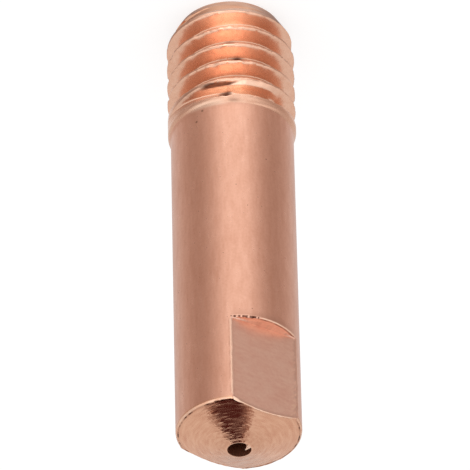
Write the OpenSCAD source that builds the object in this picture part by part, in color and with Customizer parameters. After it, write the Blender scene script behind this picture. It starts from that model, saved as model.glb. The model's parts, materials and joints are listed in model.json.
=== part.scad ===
// Welding contact tip with an M6 x 1 rear thread, turned from one copper bar.
// The tip stands on its rear face. +Z runs along the axis towards the nose.

/* [Overall] */
// Length from the rear face to the lip of the wire orifice
total_length = 23.8; // [20:0.2:40]
// Diameter of the plain barrel
barrel_diameter = 5.7; // [5.5:0.05:5.85]

/* [Thread] */
// Diameter over the thread crests
thread_diameter = 5.95; // [5.9:0.05:6.1]
// Distance from one crest to the next
thread_pitch = 1; // [0.75:0.05:1.25]
// Width of the flat on each crest
crest_flat = 0.14; // [0.1:0.01:0.2]
// Width of the flat at the bottom of the groove
root_flat = 0.16; // [0.1:0.01:0.25]
// Length from the rear face to the last full crest
thread_length = 5.2; // [4:0.1:10]
// Angle about the axis at which the thread starts
thread_start_angle = 118; // [0:1:359]
// Length over which the crest slopes down to the barrel
run_out_length = 0.75; // [0.4:0.05:1.5]
// Diameter of the rear face
rear_face_diameter = 4.8; // [4:0.1:5.2]
// Length of the lead-in cone behind the first crest
lead_in_length = 1; // [0.5:0.1:1.5]

/* [Nose] */
// Slope of the cone nose against a square-cut end
nose_slope = 22; // [10:0.5:40]
// Radius that breaks the edge between the barrel and the cone
rim_radius = 0.13; // [0.05:0.01:0.4]

/* [Spanner flats] */
// Width across the two flats
across_flats = 4.55; // [4:0.05:5.2]
// Length of a flat, from its shoulder to the end of the barrel
flat_length = 4.35; // [2:0.05:8]

/* [Wire passage] */
// Diameter of the wire bore
bore_diameter = 1.04; // [0.7:0.02:1.8]
// Diameter of the wire entry funnel at the rear face
funnel_diameter = 2.8; // [2:0.1:3.6]
// Included angle of the wire entry funnel
funnel_angle = 60; // [40:5:90]

/* [Hidden] */
$fn = 96;

copper = [0.80, 0.55, 0.44];

barrel_r = barrel_diameter / 2;
thread_r = thread_diameter / 2;
rear_face_r = rear_face_diameter / 2;
bore_r = bore_diameter / 2;
funnel_r = funnel_diameter / 2;
funnel_depth = (funnel_r - bore_r) / tan(funnel_angle / 2);
barrel_start = thread_length + run_out_length;

// The rim arc starts on the barrel and ends where it is tangent to the cone
cone_start_r = barrel_r - rim_radius * (1 - sin(nose_slope));
cone_height = (cone_start_r - bore_r) * tan(nose_slope);
barrel_end = total_length - cone_height - rim_radius * cos(nose_slope);
rim_steps = 8;

// 60 degree thread form
flank_angle = 30;
groove_turn_steps = 24;
// How far the groove cutter stands proud of the crests
cutter_proud = 0.05;
thread_depth = (thread_pitch - crest_flat - root_flat) / 2 / tan(flank_angle);
groove_root_r = thread_r - thread_depth;
groove_top_r = thread_r + cutter_proud;
groove_root_half = root_flat / 2;
groove_top_half = groove_root_half + (groove_top_r - groove_root_r) * tan(flank_angle);
groove_start = -thread_pitch;
// The groove reaches half way along the run-out
groove_end = thread_length + run_out_length / 2;
groove_turns = (groove_end - groove_start) / thread_pitch;
groove_steps = ceil(groove_turns * groove_turn_steps);
// The groove climbs out of the metal over its last sixth of a turn
fade_steps = groove_turn_steps / 6;
overlap = 0.5;

function rim_arc() = [
    for (i = [0 : rim_steps])
        let (angle = i / rim_steps * (90 - nose_slope))
            [barrel_r - rim_radius + rim_radius * cos(angle), barrel_end + rim_radius * sin(angle)]
];

function tip_outline() = concat(
    [[bore_r, funnel_depth], [funnel_r, 0], [rear_face_r, 0], [thread_r, lead_in_length],
     [thread_r, thread_length], [barrel_r, barrel_start]],
    rim_arc(),
    [[bore_r, total_length]]
);

// Four corners of the groove section at one step, in a plane through the axis
function groove_section(step) =
    let (
        turn = step / groove_turn_steps,
        z = groove_start + turn * thread_pitch,
        fade = max(0, 1 - (groove_steps - step) / fade_steps),
        lift = fade * (groove_top_r - groove_root_r),
        root_r = groove_root_r + lift,
        top_r = groove_top_r + lift,
        angle = thread_start_angle + turn * 360
    )
    [
        for (corner = [[top_r, -groove_top_half], [root_r, -groove_root_half],
                       [root_r, groove_root_half], [top_r, groove_top_half]])
            [corner[0] * cos(angle), corner[0] * sin(angle), z + corner[1]]
    ];

module thread_groove() {
    corners = len(groove_section(0));
    last = groove_steps * corners;
    points = [for (step = [0 : groove_steps]) each groove_section(step)];
    sides = [
        for (step = [0 : groove_steps - 1])
            for (i = [0 : corners - 1])
                let (a = step * corners + i, b = step * corners + (i + 1) % corners)
                    each [[a, b + corners, b], [a, a + corners, b + corners]]
    ];
    first_cap = [for (i = [0 : corners - 1]) i];
    last_cap = [for (i = [corners - 1 : -1 : 0]) last + i];
    polyhedron(points, concat(sides, [first_cap, last_cap]));
}

module spanner_flat() {
    translate([-barrel_r - overlap, across_flats / 2, barrel_end - flat_length])
        cube([barrel_diameter + 2 * overlap, barrel_r, total_length]);
}

module contact_tip() {
    color(copper)
        difference() {
            rotate_extrude()
                polygon(tip_outline());
            thread_groove();
            spanner_flat();
            mirror([0, 1, 0])
                spanner_flat();
        }
}

contact_tip();
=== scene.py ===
"""Looks of a copper welding contact tip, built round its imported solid.

The tip stands on its rear end, its axis along +Z. One closed turned piece stands for the
solid: threaded shank, drawn barrel with two milled flats, turned nose and drilled wire bore.
Sizes are in millimetres until a mesh is made.
"""
import json
import logging
import math
from dataclasses import dataclass, field
from enum import IntEnum
from typing import Any, Optional

import bpy
import numpy as np
from mathutils import Matrix, Vector


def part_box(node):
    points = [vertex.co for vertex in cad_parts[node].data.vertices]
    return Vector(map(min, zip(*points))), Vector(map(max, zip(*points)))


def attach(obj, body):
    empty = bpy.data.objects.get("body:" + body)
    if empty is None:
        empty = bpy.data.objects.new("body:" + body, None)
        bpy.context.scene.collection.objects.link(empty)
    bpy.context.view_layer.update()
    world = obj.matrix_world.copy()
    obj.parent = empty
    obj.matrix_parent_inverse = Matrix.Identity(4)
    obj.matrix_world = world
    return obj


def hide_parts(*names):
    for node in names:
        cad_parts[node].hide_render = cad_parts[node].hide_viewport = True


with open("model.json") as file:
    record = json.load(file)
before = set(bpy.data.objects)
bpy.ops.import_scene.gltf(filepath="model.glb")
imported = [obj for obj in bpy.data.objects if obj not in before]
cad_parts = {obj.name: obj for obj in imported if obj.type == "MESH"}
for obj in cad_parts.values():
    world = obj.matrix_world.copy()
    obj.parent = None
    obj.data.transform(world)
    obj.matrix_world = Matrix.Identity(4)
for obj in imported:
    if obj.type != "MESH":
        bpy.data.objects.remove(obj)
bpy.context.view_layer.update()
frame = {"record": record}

LOG = logging.getLogger("contact_tip")
MM = 0.001
NODE = "contact_tip"
SEED = 7
# The camera's angle round the tip in degrees, from -Y towards +X.
AZIMUTH = 32.0
# The angle of a column that faces the camera, counted from the right of the picture.
FRONT = math.pi / 2
# Copper that burrs lay open, which also serves as painted highlight; its oxide in specks and
# pits; and a brown that is painted shade in gaps and hollows.
BARE_COPPER_AND_GLINT = "#ffd6bc"
SPECK_BROWN = "#8a5340"
PIT_BROWN = "#5a2c1e"
SHADE_BROWN = "#4a2014"


class Zone(IntEnum):
    """The worked surfaces of the tip, in the order of their material slots."""

    DRAWN = 0
    ROLLED = 1
    MILLED = 2
    TURNED = 3
    DRILLED = 4


class Line(IntEnum):
    """The ragged lines of wear, of painted highlight and of painted shade, each with its own random
    numbers.
    """

    FLAT_EDGE = 0
    LEDGE_LIFT = 1
    CORNER_LIFT = 2
    NOSE_STAND = 3
    ORIFICE = 4
    ROUND_RIDGE = 5
    LEDGE_BARE_GLINT = 6
    LEDGE_GAP = 7
    NOSE_BARE_GLINT = 9
    ROUND_RIM = 10
    ROUND_GAP = 11
    FLAT_GAP = 12
    LEDGE_DARKENING = 13
    ROOT_PATCH = 20
    CREST_PATCH = 21
    DASH = 32
    BREAK = 72


# For each ragged line round the tip, its least value, how far it rises above that, and the
# columns on either side over which it is smoothed.
RAGGED = {
    Line.LEDGE_LIFT: (0.35, 1.0, 2),
    Line.CORNER_LIFT: (0.0, 1.0, 1),
    Line.NOSE_STAND: (0.3, 1.0, 1),
    Line.ORIFICE: (0.006, 0.008, 2),
    Line.ROUND_RIDGE: (0.4, 1.0, 1),
    Line.LEDGE_BARE_GLINT: (0.55, 0.6, 1),
    Line.LEDGE_GAP: (0.3, 0.3, 1),
    Line.NOSE_BARE_GLINT: (0.25, 0.9, 1),
    Line.ROUND_RIM: (0.15, 0.65, 1),
    Line.ROUND_GAP: (0.0, 1.0, 1),
    Line.FLAT_GAP: (0.0, 0.35, 1),
    Line.LEDGE_DARKENING: (0.05, 0.22, 2),
    Line.DASH: (0.75, 0.25, 1),
}


def linear(colour: str) -> tuple[float, float, float, float]:
    """Turn an sRGB hex colour into linear light.

    Args:
        colour: Six hex digits with a leading hash.

    Returns:
        Red, green, blue and alpha, each from 0 to 1.
    """
    parts = [int(colour[i:i + 2], 16) / 255 for i in (1, 3, 5)]
    light = [c / 12.92 if c <= 0.04045 else ((c + 0.055) / 1.055) ** 2.4 for c in parts]
    return (*light, 1.0)


def draws(line: Line, count: int) -> np.ndarray:
    """Random numbers of one line of wear, from 0 to 1, the same on each run."""
    return np.random.default_rng(SEED + line).random(count)


def spot(place: Any, centre: float, half: float, power: int = 2) -> Any:
    """A soft mark: 1 at its centre, fading to 0 past its half width.

    Args:
        place: Places, in the unit of the centre.
        centre: Where the mark lies.
        half: Its half width.
        power: 2 for a soft mark, 4 or 6 for one with a flat top.

    Returns:
        The mark's strength at each place.
    """
    return np.exp(-((place - centre) / half) ** power)


def share(distance: Any, span: float) -> Any:
    """Share of a span that a distance has covered, from 0 to 1."""
    return np.clip(distance / span, 0, 1)


def new_material(name: str) -> tuple[bpy.types.Material, bpy.types.NodeTree]:
    """Start a material with an empty node tree.

    Args:
        name: The material's name.

    Returns:
        The material and its tree.
    """
    made = bpy.data.materials.new(name)
    made.use_nodes = True
    made.node_tree.nodes.clear()
    return made, made.node_tree


def add_node(tree: bpy.types.NodeTree, kind: str, inputs: Optional[dict] = None,
             **settings: Any) -> bpy.types.Node:
    """Add a node with its settings, and set or link its inputs.

    Args:
        tree: The node tree that takes the node.
        kind: The node's type name.
        inputs: Values or output sockets by input name or number.
        **settings: Properties of the node itself.

    Returns:
        The new node.
    """
    node = tree.nodes.new(kind)
    for name, value in settings.items():
        setattr(node, name, value)
    for key, value in (inputs or {}).items():
        if isinstance(value, bpy.types.NodeSocket):
            tree.links.new(value, node.inputs[key])
        else:
            node.inputs[key].default_value = value
    return node


def add_sums(tree: bpy.types.NodeTree, steps: tuple, known: dict[str, Any]) -> dict[str, Any]:
    """Add a chain of sums to a tree, each step named so that later ones can use it.

    Args:
        tree: The node tree that takes the sums.
        steps: Rows of result name, operation, and operands by name or as numbers.
        known: Sockets and numbers that the steps may name.

    Returns:
        The known values with each step's result added.
    """
    values = dict(known)
    for name, operation, operands in steps:
        terms = {i: values[t] if isinstance(t, str) else t for i, t in enumerate(operands)}
        values[name] = add_node(tree, "ShaderNodeMath", terms, operation=operation).outputs[0]
    return values


def clamped(name: str) -> tuple:
    """Two steps that hold a named sum between 0 and 1."""
    return (name, "MINIMUM", (name, 1.0)), (name, "MAXIMUM", (name, 0.0))


@dataclass(frozen=True)
class CopperFinish:
    """One worked surface of the copper: its colours, gloss and tool marks.

    Marks are given per millimetre, as many as fit across, round and along the surface.
    Grain and cloud are per millimetre too. Pits are places on the tip in millimetres.
    """

    name: str
    light: str
    dark: str
    roughness: float
    spread: float
    marks: tuple[float, float, float]
    rings: bool = False
    detail: float = 3.0
    mark_roughness: float = 0.6
    grain: float = 9.0
    grain_share: float = 0.35
    cloud: float = 0.45
    cloud_share: float = 0.6
    fine_detail: float = 2.0
    contrast: float = 2.6
    worked_range: tuple[float, float] = (0.3, 0.7)
    relief: float = 0.25
    relief_height: float = 0.02
    anisotropy: float = 0.0
    gloss_turn: float = 0.25
    specks: float = 0.0
    speck_level: float = 0.71
    speck_gain: float = 14.0
    pits: tuple[tuple[float, float, float], ...] = ()
    pit_reach: tuple[float, float] = (0.02, 0.08)
    pit_strength: float = 0.65

    def material(self) -> bpy.types.Material:
        """Build the finish as a node material.

        Returns:
            The material, metallic, with tool marks in colour, gloss and relief.
        """
        made, tree = new_material(self.name)
        place = add_node(tree, "ShaderNodeTexCoord").outputs["Object"]
        mm = add_node(tree, "ShaderNodeVectorMath", {0: place, "Scale": 1 / MM},
                      operation="SCALE").outputs["Vector"]
        marks = add_node(tree, "ShaderNodeTexNoise", {
            "Vector": self._lay(tree, mm), "Scale": 1.0, "Detail": self.detail,
            "Roughness": self.mark_roughness}).outputs["Fac"]
        grain, cloud = (
            add_node(tree, "ShaderNodeTexNoise", {
                "Vector": mm, "Scale": scale, "Detail": self.fine_detail}).outputs["Fac"]
            for scale in (self.grain, self.cloud))
        sums = add_sums(tree, (
            ("worked", "MULTIPLY", ("grain", self.grain_share)),
            ("worked", "MULTIPLY_ADD", ("marks", 1 - self.grain_share, "worked")),
            ("stretched", "MULTIPLY_ADD", ("worked", self.contrast, 0.5 - self.contrast / 2)),
            ("clouded", "MULTIPLY_ADD", ("cloud", self.cloud_share, -self.cloud_share / 2)),
            ("tone", "ADD", ("stretched", "clouded")),
            ("speck", "SUBTRACT", ("grain", self.speck_level)),
            ("speck", "MULTIPLY", ("speck", self.speck_gain * self.specks)),
        ), {"grain": grain, "marks": marks, "cloud": cloud})
        base = self._paint_wear_and_light(tree, self._mix(tree, mm, sums))
        low, high = self.worked_range
        rough = add_node(tree, "ShaderNodeMapRange", {
            "Value": sums["worked"], "From Min": low, "From Max": high,
            "To Min": self.roughness + self.spread, "To Max": self.roughness - self.spread},
            clamp=True).outputs["Result"]
        bump = add_node(tree, "ShaderNodeBump", {
            "Height": sums["worked"], "Strength": self.relief,
            "Distance": self.relief_height * MM}).outputs["Normal"]
        shader = add_node(tree, "ShaderNodeBsdfPrincipled", {
            "Base Color": base, "Metallic": 1.0, "Roughness": rough, "Normal": bump,
            "Anisotropic": self.anisotropy, "Anisotropic Rotation": self.gloss_turn})
        if self.anisotropy:
            round_axis = add_node(tree, "ShaderNodeTangent", direction_type="RADIAL", axis="Z")
            tree.links.new(round_axis.outputs[0], shader.inputs["Tangent"])
        add_node(tree, "ShaderNodeOutputMaterial", {"Surface": shader.outputs[0]})
        return made

    def _mix(self, tree: bpy.types.NodeTree, mm: bpy.types.NodeSocket,
             sums: dict[str, Any]) -> bpy.types.NodeSocket:
        """Mix the finish's two coppers by tone and let dark specks and pits show.

        Args:
            tree: The material's tree.
            mm: The place on the tip in millimetres.
            sums: The named sums, tone and speck among them.

        Returns:
            The base colour.
        """
        mixed = add_node(tree, "ShaderNodeMixRGB", {
            "Fac": sums["tone"], "Color1": linear(self.dark), "Color2": linear(self.light)},
            use_clamp=True).outputs[0]
        if self.specks:
            speck = add_node(tree, "ShaderNodeClamp", {"Value": sums["speck"]}).outputs[0]
            mixed = add_node(tree, "ShaderNodeMixRGB", {
                "Fac": speck, "Color1": mixed, "Color2": linear(SPECK_BROWN)}).outputs[0]
        floor, edge = self.pit_reach
        for pit in self.pits:
            away = add_node(tree, "ShaderNodeVectorMath", {0: mm, 1: pit},
                            operation="DISTANCE").outputs["Value"]
            inside = add_node(tree, "ShaderNodeMapRange", {
                "Value": away, "From Min": floor, "From Max": edge,
                "To Min": self.pit_strength, "To Max": 0.0}).outputs["Result"]
            mixed = add_node(tree, "ShaderNodeMixRGB", {
                "Fac": inside, "Color1": mixed, "Color2": linear(PIT_BROWN)}).outputs[0]
        return mixed

    def _paint_wear_and_light(self, tree: bpy.types.NodeTree, base: bpy.types.NodeSocket) -> bpy.types.NodeSocket:
        """Lighten burrs as fresh copper and painted highlight, and darken with painted shade, by
        the mesh's worn attribute.

        Args:
            tree: The material's tree.
            base: The base colour.

        Returns:
            The colour with edges lightened as fresh copper and painted highlight, and painted
            shade.
        """
        worn = add_node(tree, "ShaderNodeAttribute", attribute_name="worn").outputs["Fac"]
        sums = add_sums(tree, (
            ("bare", "MAXIMUM", ("worn", 0.0)),
            ("gap", "MULTIPLY", ("worn", -1.0)),
            ("gap", "MAXIMUM", ("gap", 0.0)),
        ), {"worn": worn})
        for name, paint in (("bare", BARE_COPPER_AND_GLINT), ("gap", SHADE_BROWN)):
            base = add_node(tree, "ShaderNodeMixRGB", {
                "Fac": sums[name], "Color1": base, "Color2": linear(paint)}).outputs[0]
        return base

    def _lay(self, tree: bpy.types.NodeTree, mm: bpy.types.NodeSocket) -> bpy.types.NodeSocket:
        """Lay the tool marks along the axis, across it, or in rings round it.

        Args:
            tree: The material's tree.
            mm: The place on the tip in millimetres.

        Returns:
            The vector that the marks are drawn on.
        """
        across, round_, along = self.marks
        if not self.rings:
            return add_node(tree, "ShaderNodeMapping", {
                "Vector": mm, "Scale": (across, round_, along)}).outputs[0]
        parts = add_node(tree, "ShaderNodeSeparateXYZ", {0: mm}).outputs
        sums = add_sums(tree, (
            ("xx", "MULTIPLY", ("x", "x")),
            ("rr", "MULTIPLY_ADD", ("y", "y", "xx")),
            ("radius", "SQRT", ("rr",)),
            ("across", "MULTIPLY", ("radius", across)),
            ("across", "MULTIPLY_ADD", ("z", along, "across")),
            ("round_x", "DIVIDE", ("x", "radius")),
            ("round_x", "MULTIPLY", ("round_x", round_)),
            ("round_y", "DIVIDE", ("y", "radius")),
            ("round_y", "MULTIPLY", ("round_y", round_)),
        ), {"x": parts[0], "y": parts[1], "z": parts[2]})
        return add_node(tree, "ShaderNodeCombineXYZ", {
            0: sums["across"], 1: sums["round_x"], 2: sums["round_y"]}).outputs[0]


# Copper wears to a satin that differs with the tool. Marks finer than a pixel of the
# photograph, 0.045 mm, are drawn coarser so that they show.
FINISHES = {
    # Drawn rod: soft satin with faint streaks along the axis and fine specks.
    Zone.DRAWN: CopperFinish("copper_drawn_satin", "#f8bfa5", "#e6aa8f", 0.30, 0.04,
                             (3.6, 3.6, 0.9), specks=0.75, relief=0.32,
                             pits=((2.473, -1.416, 6.5), (2.618, -1.127, 7.01))),
    # Rolled thread: burnished by the rolls, so brighter and cleaner.
    Zone.ROLLED: CopperFinish("copper_rolled_thread", "#fccbb0", "#f2bb9e", 0.25, 0.05,
                              (3.0, 3.0, 9.0), grain=7.0, relief=0.08),
    # Milled flats: duller, with fine cutter marks.
    Zone.MILLED: CopperFinish("copper_milled_flat", "#fdd1bb", "#edb8a2", 0.42, 0.05,
                              (1.6, 1.6, 4.5), relief=0.14),
    # Turned nose: fine rings left by the lathe tool.
    Zone.TURNED: CopperFinish("copper_turned_nose", "#f6bf9f", "#e5a98a", 0.2, 0.12,
                              (8.0, 3.2, 0.0), rings=True, detail=1.2, grain_share=0.12,
                              relief=1.3, anisotropy=0.5),
    # Drilled bore: dull, with marks round the hole.
    Zone.DRILLED: CopperFinish("copper_drilled_bore", "#c98d70", "#9a6148", 0.45, 0.08,
                               (1.0, 1.0, 8.0)),
}


@dataclass
class TipSizes:
    """Sizes of the tip in millimetres, its angles in degrees.

    The first five are read from the frame. The lip is a low ridge where the thread ends, the
    lap a fold of metal under the last crest, and the fill is metal pressed into the last
    groove. Each of the three is placed by its height on the thread.
    """

    length: float
    crest_radius: float
    barrel_radius: float
    bore_radius: float
    flat_distance: float
    pitch: float = 1.0
    crest_flat: float = 0.09
    root_flat: float = 0.37
    flank_angle: float = 22.7
    thread_start: float = 118.0
    groove_start: float = 0.1
    groove_rise: float = 0.8
    groove_end: float = 5.75
    groove_fade: float = 0.24
    rear_radius: float = 2.4
    lead_in: float = 1.0
    funnel_radius: float = 1.4
    funnel_depth: float = 1.524
    run_out_start: float = 5.96
    run_out_lean: float = 0.18
    run_out: float = 0.36
    lip_height: float = 6.3
    lip_raise: float = 0.02
    lap_centre: float = 5.545
    lap_reach: float = 0.06
    lap_offset: float = 0.38
    lap_half: float = 0.088
    lap_depth: float = 0.03
    fill_centre: float = 5.44
    fill_reach: float = 0.085
    fill_share: float = 0.6
    barrel_start: float = 6.6
    nose_slope: float = 22.0
    rim_radius: float = 0.13
    flat_length: float = 4.35
    land_radius: float = 1.0
    land_drop: float = 0.015

    @classmethod
    def from_frame(cls) -> "TipSizes":
        """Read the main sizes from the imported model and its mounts.

        Returns:
            The sizes of the tip.
        """
        low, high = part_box(NODE)
        mounts = {m["name"]: m for m in frame["record"]["mounts"]}
        return cls(
            length=(high.z - low.z) / MM,
            crest_radius=(high.x - low.x) / 2 / MM,
            barrel_radius=mounts["barrel"]["dims"]["r_mm"],
            bore_radius=mounts["wire_bore"]["dims"]["r_mm"],
            flat_distance=abs(mounts["spanner_flat_front"]["pos_m"][1]) / MM,
        )

    @property
    def flank(self) -> float:
        """Depth gained per millimetre along a thread flank, which the rolls leave steep."""
        return 1 / math.tan(math.radians(self.flank_angle))

    @property
    def thread_depth(self) -> float:
        """Depth of the thread from crest to root."""
        return (self.pitch - self.crest_flat - self.root_flat) / 2 * self.flank

    @property
    def barrel_end(self) -> float:
        """Height at which the barrel meets the rounded rim.

        Returns:
            The height in millimetres.
        """
        slope = math.radians(self.nose_slope)
        cone = (self.cone_start - self.bore_radius) * math.tan(slope)
        return self.length - cone - self.rim_radius * math.cos(slope)

    @property
    def cone_start(self) -> float:
        """Radius at which the rounded rim runs into the nose cone."""
        return self.barrel_radius - self.rim_radius * (1 - math.sin(math.radians(self.nose_slope)))

    @property
    def shoulder(self) -> float:
        """Height of the ledge at the foot of the flats."""
        return self.barrel_end - self.flat_length

    @property
    def flat_half(self) -> float:
        """Half of the angle that a flat takes of the barrel, in radians."""
        return math.acos(self.flat_distance / self.barrel_radius)

    def nose_height(self, radius: np.ndarray) -> np.ndarray:
        """Height of the nose at a radius: rounded rim outside, cone inside.

        Args:
            radius: Distances from the axis.

        Returns:
            Heights at those distances.
        """
        cone = self.length - (radius - self.bore_radius) * math.tan(math.radians(self.nose_slope))
        reach = np.clip(radius - self.barrel_radius + self.rim_radius, 0, self.rim_radius)
        rim = self.barrel_end + np.sqrt(self.rim_radius ** 2 - reach ** 2)
        land = np.clip((self.land_radius - radius) / (self.land_radius - self.bore_radius), 0, 1)
        return np.where(radius > self.cone_start, rim, cone - self.land_drop * land ** 2)


@dataclass
class Ring:
    """One ring of the turned body: its radii and heights, and the surface that follows it."""

    radius: np.ndarray
    height: np.ndarray
    zone: Zone
    threaded: bool
    worn: np.ndarray


@dataclass
class HelixPlace:
    """Where the columns of one ring lie on the thread.

    Centre is the height of the nearest groove's middle and off the distance from it, in
    millimetres. Turned is the angle from the right of the picture, and front is 1 where a
    column faces the camera and 0 at the sides.
    """

    height: float
    turned: np.ndarray
    centre: np.ndarray
    off: np.ndarray
    front: np.ndarray


@dataclass
class ThreadPaintedLight:
    """Painted shade and painted highlight on the thread, where the photograph shows them.

    Places and widths are in millimetres, along the helix or across a groove. Angles are in
    radians round the tip, and strengths go from 0 to 1. A stroke is a place, a half length
    and a strength. An end mark is a strength, a place, a half length, a distance from the
    groove's middle, a half width and the power of its edge.
    """

    sizes: TipSizes
    columns: np.ndarray
    patch: float = 0.022
    patch_count: int = 400
    facing: float = 0.5
    ends: float = 0.1
    soft: float = 0.05
    root: float = 0.1
    root_patch: float = 0.3
    root_half: float = 0.25
    strokes: tuple[tuple[float, float, float], ...] = (
        (2.512, 0.015, 0.4), (3.489, 0.017, 0.7), (5.53, 0.022, 0.6))
    stroke_off: float = -0.1
    stroke_half: float = 0.13
    stroke_soft: float = 0.06
    crest: float = 0.1
    crest_facing: float = 0.85
    crest_front: float = 0.14
    crest_patch: float = 0.5
    crest_rear: float = 0.15
    rear_end: float = 3.4
    crest_off: float = 0.4
    crest_start: float = 0.7
    end_marks: tuple[tuple[float, float, float, float, float, int], ...] = (
        (0.2, 5.63, 0.05, 0.0, 0.47, 6), (0.3, 5.62, 0.06, -0.38, 0.1, 2))
    lap: float = 0.86
    lap_taper: float = 0.25
    lap_ends: float = 2.2
    lap_sides: float = 2.5
    notch: float = 0.4
    notch_turn: float = -0.03
    notch_height: float = 6.19
    notch_half: float = 0.1
    crescent_turn: float = 0.4
    crescent_spread: float = 0.3
    crescent_height: float = 6.25
    crescent_half: float = 0.14
    lit_grooves: tuple[tuple[float, float], ...] = ((5.51, 1.0), (1.51, 0.6))
    lit_half: float = 0.2
    lit_off: float = 0.45
    bare: float = 0.9
    dark_root: float = 0.25

    def place(self, height: float, turned: np.ndarray) -> HelixPlace:
        """Find where a ring's columns lie on the thread.

        Args:
            height: The ring's height.
            turned: The angle of each column from the right of the picture.

        Returns:
            The places of the columns.
        """
        s = self.sizes
        turn = (self.columns - math.radians(s.thread_start)) / math.tau
        phase = height / s.pitch - turn
        off = (phase - np.round(phase)) * s.pitch
        return HelixPlace(height, turned, height - off, off, spot(turned, FRONT, self.facing))

    def along_helix(self, place: Any, line: Line) -> Any:
        """Uneven wear along the thread, from 0 to 1, the same on each run.

        Args:
            place: Heights on the thread.
            line: Which run of wear.

        Returns:
            The wear at those places.
        """
        patches = draws(line, self.patch_count)
        return np.interp(place / self.patch, np.arange(self.patch_count), patches)

    def root_shade(self, at: HelixPlace) -> np.ndarray:
        """Painted shade on the groove floor, in patches at the front, and three dark strokes.

        Args:
            at: The places of the columns.

        Returns:
            How dark each column is.
        """
        s = self.sizes
        patch = self.along_helix(at.centre, Line.ROOT_PATCH)
        root = self.root + self.root_patch * at.front * patch ** 2
        root = root * share(self.root_half - np.abs(at.off), self.soft)
        across = share(self.stroke_half - np.abs(at.off - self.stroke_off), self.stroke_soft)
        for centre, half, strength in self.strokes:
            root = root + strength * spot(at.centre, centre, half) * across
        root = root * share(at.centre - s.lead_in, self.ends)
        return root * share(s.groove_end - at.centre, self.ends)

    def crest_light(self, at: HelixPlace) -> np.ndarray:
        """Patches of painted shade and painted highlight along the crest of the thread.

        Args:
            at: The places of the columns.

        Returns:
            How dark each column is, below 0 where it is bright.
        """
        patch = self.along_helix(at.height, Line.CREST_PATCH)
        rear = self.crest_rear * (at.height < self.rear_end)
        crest = self.crest * spot(at.turned, FRONT, self.crest_facing, 4)
        crest = crest + at.front * (self.crest_front - self.crest_patch * patch + rear)
        crest = crest * share(np.abs(at.off) - self.crest_off, self.soft)
        crest = crest * share(at.height - self.crest_start, self.ends)
        return crest * share(self.sizes.groove_end - at.height, self.ends)

    def groove_end(self, at: HelixPlace) -> np.ndarray:
        """Shade where the last groove climbs out of the metal.

        Args:
            at: The places of the columns.

        Returns:
            How dark each column is.
        """
        return sum(strength * spot(at.centre, centre, half) * spot(at.off, off, wide, power)
                   for strength, centre, half, off, wide, power in self.end_marks)

    def lap_shade(self, at: HelixPlace) -> np.ndarray:
        """Shade in the lap, the fold of metal under the last crest.

        Args:
            at: The places of the columns.

        Returns:
            How dark each column is.
        """
        s = self.sizes
        along = (at.centre - s.lap_centre) / s.lap_reach
        half = s.lap_half * (1 - self.lap_taper + self.lap_taper * along)
        across = (at.off + s.lap_offset) / half
        inside = np.clip(self.lap_ends * (1 - np.abs(along)), 0, 1)
        return self.lap * inside * np.clip(self.lap_sides * (1 - np.abs(across)), 0, 1)

    def notch_shade(self, at: HelixPlace) -> np.ndarray:
        """Shade in the notch at the end of the thread.

        Args:
            at: The places of the columns.

        Returns:
            How dark each column is.
        """
        around = spot(at.turned, FRONT + self.notch_turn, self.notch_half)
        return self.notch * around * spot(at.height, self.notch_height, self.notch_half)

    def painted_highlight(self, at: HelixPlace) -> np.ndarray:
        """Painted highlight in a crescent left of the notch, and at the front in two of the
        grooves.

        Args:
            at: The places of the columns.

        Returns:
            How bare each column is.
        """
        crescent = spot(at.turned, FRONT + self.crescent_turn, self.crescent_spread, 4)
        crescent = crescent * spot(at.height, self.crescent_height, self.crescent_half, 4)
        lit = sum(strength * spot(at.centre, centre, self.lit_half, 4)
                    for centre, strength in self.lit_grooves)
        inside = share(self.lit_off - np.abs(at.off), self.soft)
        return crescent + at.front * lit * inside

    def painted_light(self, height: float, turned: np.ndarray) -> np.ndarray:
        """Gather the painted shade and painted highlight of one ring.

        Args:
            height: The ring's height.
            turned: The angle of each column from the right of the picture.

        Returns:
            How dark each column is with painted shade, below 0 where it has painted highlight.
        """
        at = self.place(height, turned)
        root, lap, notch = self.root_shade(at), self.lap_shade(at), self.notch_shade(at)
        dark = np.maximum.reduce([root, lap, notch, self.groove_end(at)])
        stroke = share(root - self.dark_root, self.dark_root)
        clear = np.clip(1 - 2 * np.maximum(lap, notch) - stroke, 0, 1)
        return dark + self.crest_light(at) - self.bare * self.painted_highlight(at) * clear


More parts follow.
